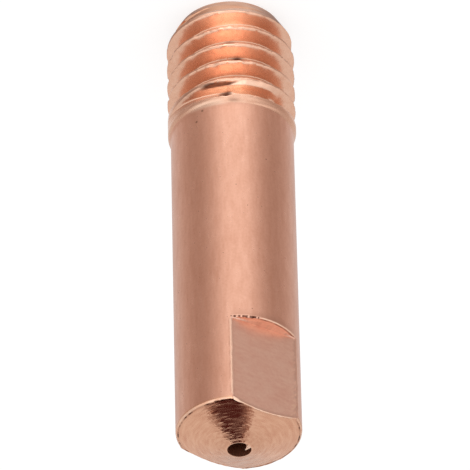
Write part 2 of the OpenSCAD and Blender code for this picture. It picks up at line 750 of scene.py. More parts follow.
@dataclass
class TurnedBody:
    """The closed turned body with its flats, before the thread is rolled.

    A mark round the tip is the angle of its middle and its half width, both in degrees.
    """

    sizes: TipSizes
    flat_columns: int = 54
    round_columns: int = 78
    barrel_rings: int = 18
    flat_rings: int = 44
    cone_rings: int = 22
    bore_rings: int = 8
    thread_step: float = 0.03
    edge: float = 0.04
    blunt: float = 0.012
    rear_edge: float = 0.01
    funnel_rise: float = 1.7
    turned_end: float = 0.75
    lip_spread: float = 48.0
    lip_half: float = 0.1
    barrel_gap: float = 0.1
    ledge_gap: float = 0.6
    flat_foot: float = 0.1
    flat_head: float = 0.1
    rim_width: float = 0.16
    lip_width: float = 0.12
    mouth_depth: float = 0.16
    bore_start: float = 0.4
    burr_low: float = 0.32
    burr_span: float = 0.4
    burr_height: float = 0.018
    burr_width: float = 0.06
    burr_share: float = 0.3
    ledge_soft: float = 0.1
    rim_soft: float = 0.01
    rim_bare_glint: float = 0.3
    under_shade: float = 0.1
    corner_gain: float = 2.2
    corner_height: float = 0.05
    corner_width: float = 0.05
    corner_bare_glint: float = 0.4
    corner_stand: float = 4.0
    dash_breaks: float = 0.3
    dash_glint: float = 0.5
    beside_share: float = 0.7
    edge_bare_glint: float = 0.35
    nick_bare_glint: float = 0.6
    nick_height: float = 0.03
    scar_level: float = 0.8
    scar_height: float = 0.02
    dull_shade: float = 0.18
    gap_least: float = 0.2
    apex_gap: float = 0.5
    cone_tint: float = 0.11
    tint_reach: float = 0.75
    curl_height: float = 0.03
    curl_reach: float = 0.25
    mouth_flare: float = 0.025
    mouth_drop: float = 0.01
    mouth_lift: float = 0.6
    throat_flare: float = 0.02
    ledge_corner: tuple[float, float] = (-65.5, 14.5)
    nose_corner: tuple[float, float] = (-56.0, 5.0)
    apex: tuple[float, float] = (-54.0, 4.0)
    darker_line: tuple[float, float] = (-126.0, 1.5)
    scars: tuple[float, float] = (-123.0, math.degrees(0.05))
    curl: tuple[float, float] = (-122.0, 17.0)
    columns: np.ndarray = field(init=False)
    flat_reach: np.ndarray = field(init=False)
    in_flat: np.ndarray = field(init=False)
    on_edge: np.ndarray = field(init=False)
    rings: list[Ring] = field(init=False, default_factory=list)

    def __post_init__(self) -> None:
        """Lay out the columns round the axis, with lines on the edges of the flats."""
        half, step, hair = self.sizes.flat_half, self.edge / self.sizes.barrel_radius, 1e-6
        turn: list[float] = []
        for start, stop, count in ((-half, half, self.flat_columns),
                                   (half, math.pi - half, self.round_columns)):
            turn += [start, start + step]
            turn += list(np.linspace(start + 2 * step, stop - 2 * step, count))
            turn += [stop - step]
        one = np.array(turn)
        self.columns = np.concatenate([one, one + math.pi]) - math.pi / 2
        offset = (self.columns + math.pi / 2 + half) % math.pi - half
        self.in_flat = offset < half - hair
        reach = self.sizes.flat_distance / np.cos(np.where(self.in_flat, offset, half))
        self.flat_reach = np.minimum(reach, self.sizes.barrel_radius)
        self.on_edge = (np.abs(np.abs(offset) - half) < hair).astype(float)
        self.flat_reach = self.flat_reach - self.blunt * self.on_edge

    def ring(self, radius: Any, height: Any, zone: Zone, threaded: bool = False,
             worn: Any = 0.0) -> None:
        """Add a ring.

        Args:
            radius: One radius, or one for each column.
            height: One height, or one for each column.
            zone: The surface between this ring and the next.
            threaded: Whether the thread is rolled into this ring.
            worn: From 1 on a burr of fresh copper with painted highlight to -1
                where painted shade darkens it, one or one for each column.
        """
        full = np.ones_like(self.columns)
        self.rings.append(Ring(full * radius, full * height, zone, threaded, full * worn))

    def around(self, mark: tuple[float, float], power: int = 2) -> np.ndarray:
        """Strength of a mark round the tip.

        Args:
            mark: The angle of its middle and its half width, in degrees.
            power: 2 for a soft mark, more for one with a flat top.

        Returns:
            One value for each column.
        """
        middle, half = (math.radians(angle) for angle in mark)
        return spot(self.columns, middle, half, power)

    def burr(self, line: Line) -> np.ndarray:
        """A ragged line round the tip, the same on each run.

        Args:
            line: Which ragged line.

        Returns:
            One value for each column, within the line's range.
        """
        least, rise, width = RAGGED[line]
        rough = draws(line, len(self.columns))
        near = np.ones(2 * width + 1) / (2 * width + 1)
        smooth = np.convolve(np.concatenate([rough[-width:], rough, rough[:width]]), near, "valid")
        return least + rise * share(smooth - self.burr_low, self.burr_span)

    def rear(self) -> None:
        """Lay the funnel and the rear face, from the bore outwards."""
        s = self.sizes
        for radius, height in (
                (s.bore_radius, s.funnel_depth),
                (s.funnel_radius - self.edge, self.edge * self.funnel_rise),
                (s.funnel_radius, self.rear_edge),
                (s.funnel_radius + self.edge, 0),
                (s.rear_radius - self.edge, 0)):
            self.ring(radius, height, Zone.TURNED)

    def shank(self) -> None:
        """Lay the shank that takes the thread, with its lead-in and run-out."""
        s = self.sizes
        marks = ThreadPaintedLight(s, self.columns)
        turned = (self.columns + math.radians(180 - AZIMUTH)) % math.tau
        crest_line = s.run_out_start - s.run_out_lean * np.minimum(np.cos(turned), 0)
        lip_line = s.lip_height + (turned - FRONT) / math.tau * s.pitch
        lip_reach = s.lip_raise * spot(turned, FRONT, math.radians(self.lip_spread))
        for height in np.arange(self.rear_edge, s.barrel_start, self.thread_step):
            lead = s.rear_radius + (s.crest_radius - s.rear_radius) * min(height / s.lead_in, 1)
            past = share(height - crest_line, s.run_out)
            # Half a straight slope and half an eased one, so that the crest breaks sharply.
            fall = (s.crest_radius - s.barrel_radius) * past * (1 + past * (3 - 2 * past)) / 2
            lip = lip_reach * spot(height, lip_line, self.lip_half)
            zone = Zone.ROLLED if height < s.lip_height else Zone.DRAWN
            zone = Zone.TURNED if height < self.turned_end else zone
            # Each ring of the thread takes its painted shade and painted highlight.
            self.ring(lead - fall + lip, height, zone, True, -marks.painted_light(height, turned))

    def barrel(self) -> None:
        """Lay the plain barrel up to the ledge of the flats."""
        s = self.sizes
        low, high = s.barrel_start + self.barrel_gap, s.shoulder - self.ledge_gap
        for height in np.linspace(low, high, self.barrel_rings):
            self.ring(s.barrel_radius, height, Zone.DRAWN)

    def ledge(self) -> None:
        """Lay the ledge at the foot of the flats, its burr, and the dashes at its front corner."""
        s = self.sizes
        width = s.barrel_radius - self.flat_reach
        on_ledge = share(width, self.ledge_soft)
        front = self.around(self.ledge_corner, 6)
        corner = np.clip(self.corner_gain * front, 0, 1) * share(width, self.rim_soft)
        lift = on_ledge * (self.burr_height * self.burr(Line.LEDGE_LIFT)
                           + self.corner_height * front * self.burr(Line.CORNER_LIFT))
        inward = np.minimum(self.burr_width + self.corner_width * front, width * self.burr_share)
        # The dashes are painted shade in cracks under the burr at the front corner.
        broken = draws(Line.BREAK, len(self.columns)) > self.dash_breaks
        dashes = self.burr(Line.DASH) * broken
        # The rim row is lightened as fresh copper and painted highlight.
        bare = on_ledge * self.burr(Line.LEDGE_BARE_GLINT)
        rim = bare * (1 - corner) + corner * (self.rim_bare_glint - (1 + self.rim_bare_glint) * dashes)
        # Painted shade in the gaps beside the burr, and the ledge darker in a ragged band.
        gap = on_ledge * self.burr(Line.LEDGE_GAP) * (1 - corner)
        ledge_darkening = on_ledge * self.burr(Line.LEDGE_DARKENING)
        # Under the burr: painted highlight at the front corner, painted shade elsewhere.
        under = self.corner_bare_glint * corner - self.under_shade * on_ledge * (1 - corner)
        # Painted shade on the barrel just above the ledge.
        for drop, shade in ((0.45, 0.0), (0.3, 0.06), (0.18, 0.12), (0.1, 0.14)):
            self.ring(s.barrel_radius, s.shoulder - drop, Zone.DRAWN, worn=-shade * on_ledge)
        # Each row has shares of the lift outwards, of the burr's width inwards and of the
        # lift upwards, then the height over the shoulder, the surface and its wear and painted
        # light.
        for out, inside, up, height, zone, worn in (
                (0.2, 0.0, 0.0, -0.06, Zone.DRAWN, under),
                (0.3, 0.0, 0.3, -0.03, Zone.DRAWN, rim),
                (0.3, 0.15, 0.5, -0.015, Zone.MILLED, rim),
                (0.0, 0.5, 1.0, 0.0, Zone.MILLED, rim),
                (0.0, 0.7, 0.3, 0.008, Zone.MILLED, -gap),
                (0.0, 1.9, 0.0, 0.012, Zone.MILLED, -gap),
                (0.0, 2.2, 0.0, 0.014, Zone.MILLED, self.dash_glint * corner * dashes)):
            self.ring(s.barrel_radius + out * lift - inside * inward,
                      s.shoulder + height + up * lift, zone, worn=worn)
        middle = self.flat_reach + 0.5 * (width - 1.7 * inward)
        for radius, height, worn in (
                (middle, 0.025, -ledge_darkening), (self.flat_reach + 0.5 * inward, 0.06, -ledge_darkening),
                (self.flat_reach, 0.065, 0.0), (self.flat_reach, self.flat_foot, 0.0)):
            self.ring(radius, s.shoulder + height, Zone.MILLED, worn=worn)

    def flat_burr(self) -> tuple[np.ndarray, np.ndarray]:
        """The burr where the flats meet the nose, highest at the front corner.

        Returns:
            How far the burr stands up, and how far it is lightened as fresh copper and painted
            highlight, for each column.
        """
        corner = self.around(self.nose_corner)
        stand = self.in_flat * (self.burr(Line.NOSE_STAND) + self.corner_stand * corner)
        bare = self.in_flat * np.minimum(self.burr(Line.NOSE_BARE_GLINT) + corner, 1)
        return stand, bare

    def flats(self) -> None:
        """Lay the two milled flats with nicked edges, and their burr at the nose."""
        s = self.sizes
        top = s.nose_height(self.flat_reach)
        low, high = s.shoulder + self.flat_foot, top - self.flat_head
        ragged = np.random.default_rng(SEED + Line.FLAT_EDGE)
        beside = np.maximum(np.roll(self.on_edge, 1), np.roll(self.on_edge, -1))
        edges = self.on_edge + self.beside_share * beside
        darker_edge, scarred = self.around(self.darker_line), self.in_flat * self.around(self.scars)
        for part in np.linspace(0, 1, self.flat_rings)[1:-1]:
            nick = ragged.random(len(self.columns))
            scar = (nick > self.scar_level) * scarred * part
            # Edges and nicks are lightened as fresh copper and painted highlight; one edge is
            # darker.
            worn = edges * (self.edge_bare_glint + self.nick_bare_glint * nick) * (1 - darker_edge)
            worn = worn - self.dull_shade * darker_edge + scar
            raised = self.nick_height * nick * edges + self.scar_height * scar
            self.ring(self.flat_reach + raised, low + (high - low) * part, Zone.MILLED, worn=worn)
        stand, bare = self.flat_burr()
        # Each row has shares of the burr outwards and upwards, the drop below the nose, the
        # surface and its wear: painted shade under the burr, then fresh copper and painted
        # highlight on it.
        for out, up, drop, zone, worn in (
                (0.0, 0.0, 0.09, Zone.MILLED, -0.12 * self.in_flat),
                (0.006, 0.0, 0.05, Zone.MILLED, -0.22 * self.in_flat),
                (0.014, 0.0, 0.03, Zone.MILLED, bare),
                (0.01, 0.008, 0.01, Zone.TURNED, bare)):
            self.ring(self.flat_reach + out * stand, top - drop + up * stand, zone, worn=worn)

    def nose(self) -> None:
        """Lay the rounded rim with its burr, and the cone."""
        s = self.sizes
        on_round, apex = ~self.in_flat, self.around(self.apex)
        stand, bare = self.flat_burr()
        ridge = on_round * self.burr(Line.ROUND_RIDGE)
        rim = on_round * self.burr(Line.ROUND_RIM)
        deep = self.gap_least + (1 - self.gap_least) * self.burr(Line.ROUND_GAP) ** 2
        gap = np.minimum(on_round * deep + apex, 1)
        flat_painted_shade = self.in_flat * (self.burr(Line.FLAT_GAP) + self.apex_gap * apex)
        # Each row has the distance in from the edge, shares of the flat's burr and of the
        # round rim's ridge upwards, and the wear: the rim line lightened as fresh copper and
        # painted highlight, with painted shade in the gaps inside it.
        for inside, by_flat, by_round, worn in (
                (0.01, 0.018, 0.0, bare), (0.022, 0.016, 0.0, bare + rim),
                (0.036, 0.006, 0.0, rim - flat_painted_shade), (0.05, -0.004, 0.006, rim - flat_painted_shade),
                (0.068, 0.0, 0.016, rim), (0.085, 0.0, 0.006, -0.5 * gap),
                (0.1, 0.0, -0.012, -gap), (0.135, 0.0, -0.004, -0.9 * gap),
                (self.rim_width, 0.0, 0.0, 0.0)):
            radius = self.flat_reach - inside
            lip = by_flat * stand + by_round * ridge
            self.ring(radius, s.nose_height(radius) + lip, Zone.TURNED, worn=worn)
        start, stop = self.flat_reach - self.rim_width, s.bore_radius + self.lip_width
        for part in np.linspace(0, 1, self.cone_rings)[1:]:
            radius = start + (stop - start) * part
            tint = self.cone_tint * spot(radius, s.bore_radius, self.tint_reach)
            self.ring(radius, s.nose_height(radius), Zone.TURNED, worn=-tint)

    def orifice(self) -> None:
        """Lay the lip of the wire bore with its curled flake, and the bore itself."""
        s = self.sizes
        curl = self.around(self.curl)
        lip = self.burr(Line.ORIFICE) + self.curl_height * curl
        # The lip and the curled flake are lightened as fresh copper and painted highlight.
        for out, up, worn in ((0.095, 0.1, 0.0), (0.07, 0.8, 0.1), (0.045, 1.0, 0.3 + 0.7 * curl)):
            radius = np.full_like(lip, s.bore_radius + out)
            self.ring(radius, s.nose_height(radius) + up * lip, Zone.TURNED, worn=worn)
        mouth = s.bore_radius + self.mouth_flare - self.curl_reach * curl
        top = s.nose_height(mouth) - self.mouth_drop + self.mouth_lift * lip
        self.ring(mouth, top, Zone.DRILLED, worn=curl)
        self.ring(s.bore_radius + self.throat_flare, s.length - self.mouth_depth, Zone.DRILLED)
        low, high = s.funnel_depth + self.barrel_gap, s.length - self.bore_start
        for height in np.linspace(high, low, self.bore_rings):
            self.ring(s.bore_radius, height, Zone.DRILLED)

    def build(self) -> bpy.types.Mesh:
        """Join the rings into one closed mesh.

        Returns:
            The mesh, in metres, with a surface number on each face.
        """
        for lay in (self.rear, self.shank, self.barrel, self.ledge, self.flats, self.nose,
                    self.orifice):
            lay()
        radius = np.array([r.radius for r in self.rings])
        height = np.array([r.height for r in self.rings])
        rows, count = radius.shape
        points = np.stack(
            [radius * np.cos(self.columns), radius * np.sin(self.columns), height], -1)
        index = np.arange(rows * count).reshape(rows, count)
        above, beside = np.roll(index, -1, 0), np.roll(index, -1, 1)
        quads = np.stack([index, beside, np.roll(above, -1, 1), above], -1).reshape(-1, 4)
        mesh = bpy.data.meshes.new(NODE + "_body")
        mesh.from_pydata((points.reshape(-1, 3) * MM).tolist(), [], quads.tolist())
        zones = np.repeat([r.zone for r in self.rings], count).reshape(rows, count)
        milled = (zones == Zone.MILLED) & ~self.in_flat
        zones = np.where(milled, int(Zone.DRAWN), zones).astype(np.int32)
        mesh.polygons.foreach_set("material_index", zones.ravel())
        mesh.polygons.foreach_set("use_smooth", np.ones(rows * count, bool))
        threaded = np.repeat([r.threaded for r in self.rings], count)
        mesh.attributes.new("shank", "BOOLEAN", "POINT").data.foreach_set("value", threaded)
        # Above 0 fresh copper with painted highlight, below 0 painted shade.
        worn = np.array([r.worn for r in self.rings], np.float32).ravel()
        mesh.attributes.new("worn", "FLOAT", "POINT").data.foreach_set("value", worn)
        mesh.update()
        return mesh


@dataclass
class RolledThread:
    """The helical thread, rolled into the shank by a node tree with named sizes."""

    sizes: TipSizes
    rounding: float = 0.045
    root_rounding: float = 0.03
    ragged: float = 0.32
    seed: float = 3.0
    dents_per_mm: float = 2.2
    dent_detail: float = 3.0
    dent_power: float = 5.0
    end_softness: float = 4.0
    fill_ends: float = 2.0
    fill_slope: float = -5.0
    fill_start: float = -0.4
    lap_taper: float = 0.3
    lap_sides: float = 2.5
    lap_ends: float = 3.0

    def inputs(self) -> dict[str, float]:
        """The tree's named inputs and their values, lengths in metres.

        Returns:
            The values by name.
        """
        s = self.sizes
        lengths = {
            "Pitch": s.pitch, "Crest Radius": s.crest_radius, "Depth": s.thread_depth,
            "Root Half": s.root_flat / 2, "Groove Start": s.groove_start, "Rise": s.groove_rise,
            "Groove End": s.groove_end, "Fade": s.groove_fade, "Rounding": self.rounding,
            "Root Rounding": self.root_rounding, "Ragged": self.ragged,
            "Lap Centre": s.lap_centre, "Lap Reach": s.lap_reach, "Lap Offset": s.lap_offset,
            "Lap Half": s.lap_half, "Lap Depth": s.lap_depth,
            "Fill Centre": s.fill_centre, "Fill Reach": s.fill_reach,
        }
        others = {"Flank": s.flank, "Start Angle": math.radians(s.thread_start),
                  "Seed": self.seed, "Fill Share": s.fill_share}
        return {name: value * MM for name, value in lengths.items()} | others

    def steps(self) -> tuple:
        """The sums that turn a place on the shank into its radius on the thread.

        Returns:
            Rows of result name, operation and operands.
        """
        place = (
            ("angle", "ARCTAN2", ("y", "x")),
            ("angle", "SUBTRACT", ("angle", "Start Angle")),
            ("turn", "DIVIDE", ("angle", math.tau)),
            ("level", "DIVIDE", ("z", "Pitch")),
            ("phase", "SUBTRACT", ("level", "turn")),
            ("groove", "ROUND", ("phase",)),
            ("signed", "SUBTRACT", ("phase", "groove")),
            ("offset", "ABSOLUTE", ("signed",)),
            ("away", "MULTIPLY", ("offset", "Pitch")),
            ("centre", "ADD", ("groove", "turn")),
            ("centre", "MULTIPLY", ("centre", "Pitch")),
        )
        # The groove fades in on the lead-in and eases out at its end.
        kept = (
            ("fade_start", "SUBTRACT", ("Groove End", "Fade")),
            ("past", "SUBTRACT", ("centre", "fade_start")),
            ("past", "DIVIDE", ("past", "Fade")),
            *clamped("past"),
            ("risen", "SUBTRACT", ("centre", "Groove Start")),
            ("risen", "DIVIDE", ("risen", "Rise")),
            *clamped("risen"),
            ("eased", "MULTIPLY_ADD", ("past", -2.0, 3.0)),
            ("eased", "MULTIPLY", ("eased", "past")),
            ("eased", "MULTIPLY", ("eased", "past")),
            ("kept", "SUBTRACT", (1.0, "eased")),
            ("kept", "MULTIPLY", ("kept", "risen")),
        )
        cut = (
            ("beyond", "SUBTRACT", ("away", "Root Half")),
            ("beyond", "MULTIPLY", ("beyond", "Flank")),
            ("floor", "MULTIPLY", ("Depth", "kept")),
            ("cut", "SUBTRACT", ("floor", "beyond")),
            ("soft", "MULTIPLY_ADD", ("past", self.end_softness, 1.0)),
            ("soft", "MULTIPLY", ("soft", "Rounding")),
            ("cut", "SMOOTH_MAX", ("cut", 0.0, "soft")),
            ("cut", "SMOOTH_MIN", ("cut", "floor", "Root Rounding")),
        )
        # Metal pressed into the rear side of the last groove.
        fill = (
            ("fill_along", "SUBTRACT", ("centre", "Fill Centre")),
            ("fill_along", "DIVIDE", ("fill_along", "Fill Reach")),
            ("fill_along", "ABSOLUTE", ("fill_along",)),
            ("fill_along", "SUBTRACT", (1.0, "fill_along")),
            ("fill_along", "MULTIPLY", ("fill_along", self.fill_ends)),
            *clamped("fill_along"),
            ("fill_across", "MULTIPLY_ADD", ("signed", self.fill_slope, self.fill_start)),
            *clamped("fill_across"),
            ("fill", "MULTIPLY", ("fill_along", "fill_across")),
            ("fill", "MULTIPLY", ("fill", "Fill Share")),
            ("fill", "SUBTRACT", (1.0, "fill")),
            ("cut", "MULTIPLY", ("cut", "fill")),
        )
        # Dents in the crests only.
        dents = (
            ("rough", "SUBTRACT", ("noise", 0.5)),
            ("rough", "MULTIPLY", ("rough", "Ragged")),
            ("top", "DIVIDE", ("cut", "Depth")),
            ("top", "SUBTRACT", (1.0, "top")),
            ("top", "POWER", ("top", self.dent_power)),
            ("dent", "MULTIPLY", ("rough", "top")),
            ("dent", "MULTIPLY", ("dent", "kept")),
            ("cut", "ADD", ("dent", "cut")),
        )
        # The lap under the last crest, a lens that narrows towards one end.
        lap = (
            ("lap_along", "SUBTRACT", ("centre", "Lap Centre")),
            ("lap_along", "DIVIDE", ("lap_along", "Lap Reach")),
            ("lap_round", "ABSOLUTE", ("lap_along",)),
            ("lap_open", "MULTIPLY_ADD", ("lap_along", self.lap_taper, 1 - self.lap_taper)),
            ("lap_half", "MULTIPLY", ("Lap Half", "lap_open")),
            ("lap_off", "MULTIPLY_ADD", ("signed", "Pitch", "Lap Offset")),
            ("lap_off", "ABSOLUTE", ("lap_off",)),
            ("lap_off", "DIVIDE", ("lap_off", "lap_half")),
            ("lap_off", "SUBTRACT", (1.0, "lap_off")),
            ("lap_off", "MULTIPLY", ("lap_off", self.lap_sides)),
            *clamped("lap_off"),
            ("lap_in", "SUBTRACT", (1.0, "lap_round")),
            ("lap_in", "MULTIPLY", ("lap_in", self.lap_ends)),
            *clamped("lap_in"),
            ("lap", "MULTIPLY", ("lap_off", "lap_in")),
            ("cut", "MULTIPLY_ADD", ("lap", "Lap Depth", "cut")),
        )
        moved = (
            ("xx", "MULTIPLY", ("x", "x")),
            ("rr", "MULTIPLY_ADD", ("y", "y", "xx")),
            ("radius", "SQRT", ("rr",)),
            ("target", "SUBTRACT", ("Crest Radius", "cut")),
            ("target", "MINIMUM", ("target", "radius")),
            ("scale", "DIVIDE", ("target", "radius")),
            ("new_x", "MULTIPLY", ("x", "scale")),
            ("new_y", "MULTIPLY", ("y", "scale")),
        )
        return place + kept + cut + fill + dents + lap + moved

    def tree(self) -> tuple[bpy.types.NodeTree, dict[str, str]]:
        """Build the tree that cuts the helical groove.

        Returns:
            The tree, and the identifier of each named input.
        """
        tree = bpy.data.node_groups.new("rolled_thread", "GeometryNodeTree")
        for way in ("INPUT", "OUTPUT"):
            tree.interface.new_socket("Geometry", in_out=way, socket_type="NodeSocketGeometry")
        idents = {}
        for name in self.inputs():
            idents[name] = tree.interface.new_socket(
                name, in_out="INPUT", socket_type="NodeSocketFloat").identifier
        idents["Material"] = tree.interface.new_socket(
            "Material", in_out="INPUT", socket_type="NodeSocketMaterial").identifier
        given = add_node(tree, "NodeGroupInput").outputs
        position = add_node(tree, "GeometryNodeInputPosition").outputs[0]
        parts = add_node(tree, "ShaderNodeSeparateXYZ", {0: position}).outputs
        noise = add_node(tree, "ShaderNodeTexNoise", {
            "Vector": position, "W": given["Seed"], "Scale": self.dents_per_mm / MM,
            "Detail": self.dent_detail}, noise_dimensions="4D").outputs[0]
        known = {name: given[name] for name in self.inputs()}
        known |= {"x": parts[0], "y": parts[1], "z": parts[2], "noise": noise}
        sums = add_sums(tree, self.steps(), known)
        placed = add_node(tree, "ShaderNodeCombineXYZ", {
            0: sums["new_x"], 1: sums["new_y"], 2: parts[2]}).outputs[0]
        shank = add_node(tree, "GeometryNodeInputNamedAttribute", {"Name": "shank"},
                         data_type="BOOLEAN").outputs["Attribute"]
        rolled = add_node(tree, "GeometryNodeSetPosition", {
            "Geometry": given["Geometry"], "Selection": shank, "Position": placed}).outputs[0]
        realised = add_node(tree, "GeometryNodeRealizeInstances", {0: rolled}).outputs[0]
        slot = add_node(tree, "GeometryNodeInputMaterialIndex").outputs[0]
        of_thread = add_node(tree, "FunctionNodeCompare", {2: slot, 3: int(Zone.ROLLED)},
                             data_type="INT", operation="EQUAL").outputs[0]
        dressed = add_node(tree, "GeometryNodeSetMaterial", {
            "Geometry": realised, "Selection": of_thread,
            "Material": given["Material"]}).outputs[0]
        add_node(tree, "NodeGroupOutput", {0: dressed})
        return tree, idents

    def roll(self, mesh: bpy.types.Mesh, material: bpy.types.Material) -> bpy.types.Mesh:
        """Roll the thread into the body's mesh.

        Args:
            mesh: The turned body.
            material: The finish of the thread.

        Returns:
            A plain mesh with the thread in it.
        """
        holder = bpy.data.objects.new("thread_blank", mesh)
        bpy.context.scene.collection.objects.link(holder)
        tree, idents = self.tree()
        roller = holder.modifiers.new("rolled_thread", "NODES")
        roller.node_group = tree
        for name, value in self.inputs().items():
            roller[idents[name]] = value
        roller[idents["Material"]] = material
        graph = bpy.context.evaluated_depsgraph_get()
        made = bpy.data.meshes.new_from_object(holder.evaluated_get(graph), depsgraph=graph)
        holder.modifiers.remove(roller)
        bpy.data.objects.remove(holder)
        return made


@dataclass
class ContactTip:
    """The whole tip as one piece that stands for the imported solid."""

    sizes: TipSizes
    soft_angle: float = 60.0

    def build(self) -> bpy.types.Object:
        """Build the tip, dress it and let it stand for its solid.

        Returns:
            The finished piece.
        """
        finishes = {zone: FINISHES[zone].material() for zone in Zone}
        body = TurnedBody(self.sizes).build()
        for zone in Zone:
            body.materials.append(finishes[zone])
        mesh = RolledThread(self.sizes).roll(body, finishes[Zone.ROLLED])
        mesh.name = "copper_contact_tip"
        mesh.set_sharp_from_angle(angle=math.radians(self.soft_angle))
        if "shank" in mesh.attributes:
            mesh.attributes.remove(mesh.attributes["shank"])
        piece = bpy.data.objects.new("copper_contact_tip", mesh)
        bpy.context.scene.collection.objects.link(piece)
        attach(piece, "root")
        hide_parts(NODE)
        return piece


@dataclass
class Studio:
    """Camera, pale floor and soft light, as in the photograph.

    The rim's centre is in millimetres from the camera. Lamp and floor sizes are in metres,
    and the cards' sizes in millimetres. A fade over the sheet is a start, a stop and the
    level at each.
    """

    sizes: TipSizes
    focal_px: float = 6668.2
    image_px: float = 470.0
    sensor_width: float = 36.0
    clip: tuple[float, float] = (0.01, 20.0)
    axis_angle: float = 53.467
    roll: float = -1.313
    rim_centre: tuple[float, float, float] = (0.175, 8.820, 299.37)
    floor_size: float = 3.0
    floor_glow: float = 0.75
    floor_paper: str = "#efefef"
    floor_shade: str = "#9c9c9c"
    world_level: float = 0.74
    front_level: float = 1.04
    front_from: float = -0.1
    front_to: float = 0.5
    lamp_size: float = 0.25
    lamp_power: float = 0.07
    lamp_away: float = 0.25
    lamp_height: float = 0.3
    sheet_turn: float = 3.5
    sheet_levels: tuple[tuple[float, float], ...] = (
        (0.0, 1.16), (0.10, 1.02), (0.2, 0.67), (0.31, 0.445), (0.43, 0.41),
        (0.55, 0.54), (0.70, 0.68), (0.88, 0.68), (1.0, 0.60))
    sheet_warm_end: float = 0.6
    sheet_warm_green: float = 0.25
    sheet_warm_blue: float = 0.35
    sheet_inner: float = 2.42
    sheet_outer: float = 600.0
    sheet_height: float = 0.02
    sheet_sides: int = 64
    sheet_near: tuple[float, float, float, float] = (2.4, 6.0, 0.72, 1.15)
    sheet_far: tuple[float, float, float, float] = (8.0, 13.0, 1.0, 0.87)
    sheet_patch: tuple[float, float, float, float] = (7.0, 8.6, 0.8, 0.0)
    sheet_begun: tuple[float, float, float, float] = (3.3, 4.2, 0.0, 1.0)
    patch_turn: float = 0.03
    patch_half: tuple[float, float] = (0.03, 0.26)
    strip_shift: float = 1.1
    strip_half: float = 2.8
    strip_dark: float = 1.4
    strip_near: float = 5.0
    strip_far: float = -1.2
    strip_height: float = 29.0
    strip_middle: str = "#4a2222"
    strip_edge: str = "#a88c82"

    @property
    def ahead(self) -> Vector:
        """Level direction from the tip towards the camera."""
        look = math.radians(AZIMUTH)
        return Vector((math.sin(look), -math.cos(look), 0))

    def camera(self) -> bpy.types.Object:
        """Place the camera so that the nose rim falls where the photograph has it.

        Returns:
            The camera.
        """
        lean, tilt = math.radians(self.axis_angle), Matrix.Rotation(math.radians(self.roll), 3, "Z")
        axis = tilt @ Vector((0, math.sin(lean), -math.cos(lean)))
        right = tilt @ Vector((1, 0, 0))
        near = axis.cross(right)
        turned = Matrix.Rotation(math.radians(AZIMUTH - 180), 3, "Z")
        seen = turned @ Matrix((right, near, axis))
        rim = Vector((0, 0, self.sizes.barrel_end))
        place = (rim - seen @ Vector(self.rim_centre)) * MM
        data = bpy.data.cameras.new("photo_camera")
        data.sensor_width = self.sensor_width
        data.lens = self.focal_px / self.image_px * data.sensor_width
        data.clip_start, data.clip_end = self.clip
        eye = bpy.data.objects.new("photo_camera", data)
        flip = Matrix(((1, 0, 0), (0, -1, 0), (0, 0, -1)))
        eye.matrix_world = Matrix.Translation(place) @ (seen @ flip).to_4x4()
        bpy.context.scene.collection.objects.link(eye)
        bpy.context.scene.camera = eye
        return eye

    def floor(self) -> bpy.types.Object:
        """Lay a pale floor that is white to the eye and keeps the tip's shadow.

        Returns:
            The floor.
        """
        half = self.floor_size / 2
        mesh = bpy.data.meshes.new("pale_floor")
        corners = [(-half, -half, 0), (half, -half, 0), (half, half, 0), (-half, half, 0)]
        mesh.from_pydata(corners, [], [(0, 1, 2, 3)])
        made, tree = new_material("matt_white_paper")
        paper, shade = (
            add_node(tree, "ShaderNodeBsdfDiffuse", {"Color": linear(grey)}).outputs[0]
            for grey in (self.floor_paper, self.floor_shade))
        glow = add_node(tree, "ShaderNodeEmission", {
            "Color": linear("#ffffff"), "Strength": self.floor_glow}).outputs[0]
        white = add_node(tree, "ShaderNodeAddShader", {0: glow, 1: shade}).outputs[0]
        mixed = add_node(tree, "ShaderNodeMixShader", {
            0: self._seen(tree), 1: paper, 2: white}).outputs[0]
        add_node(tree, "ShaderNodeOutputMaterial", {0: mixed})
        mesh.materials.append(made)
        return self._stage("pale_floor", mesh)

    def _seen(self, tree: bpy.types.NodeTree) -> bpy.types.NodeSocket:
        """Tell rays of the eye, of gloss and of glass from rays of light.

        Args:
            tree: The tree that needs to know.

        Returns:
            1 for a ray that shows the background, 0 for light.
        """
        path = add_node(tree, "ShaderNodeLightPath").outputs
        return add_sums(tree, (
            ("seen", "MAXIMUM", ("eye", "gloss")),
            ("seen", "MAXIMUM", ("seen", "glass")),
        ), {"eye": path["Is Camera Ray"], "gloss": path["Is Glossy Ray"],
            "glass": path["Is Transmission Ray"]})["seen"]

    def _stage(self, name: str, mesh: bpy.types.Mesh) -> bpy.types.Object:
        """Put a mesh into the scene as stage.

        Args:
            name: The object's name.
            mesh: Its mesh.

        Returns:
            The object.
        """
        made = bpy.data.objects.new(name, mesh)
        bpy.context.scene.collection.objects.link(made)
        return made

    def card(self, name: str, points: list[tuple[float, float, float]],
             faces: list[tuple[int, ...]], material: bpy.types.Material) -> bpy.types.Object:
        """Put up a card that only the metal sees.

        Args:
            name: The card's name.
            points: Its corners in millimetres.
            faces: Its faces.
            material: Its paint.

        Returns:
            The card.
        """
        mesh = bpy.data.meshes.new(name)
        mesh.from_pydata([tuple(c * MM for c in p) for p in points], [], faces)
        mesh.materials.append(material)
        made = self._stage(name, mesh)
        made.visible_camera = made.visible_diffuse = made.visible_shadow = False
        return made

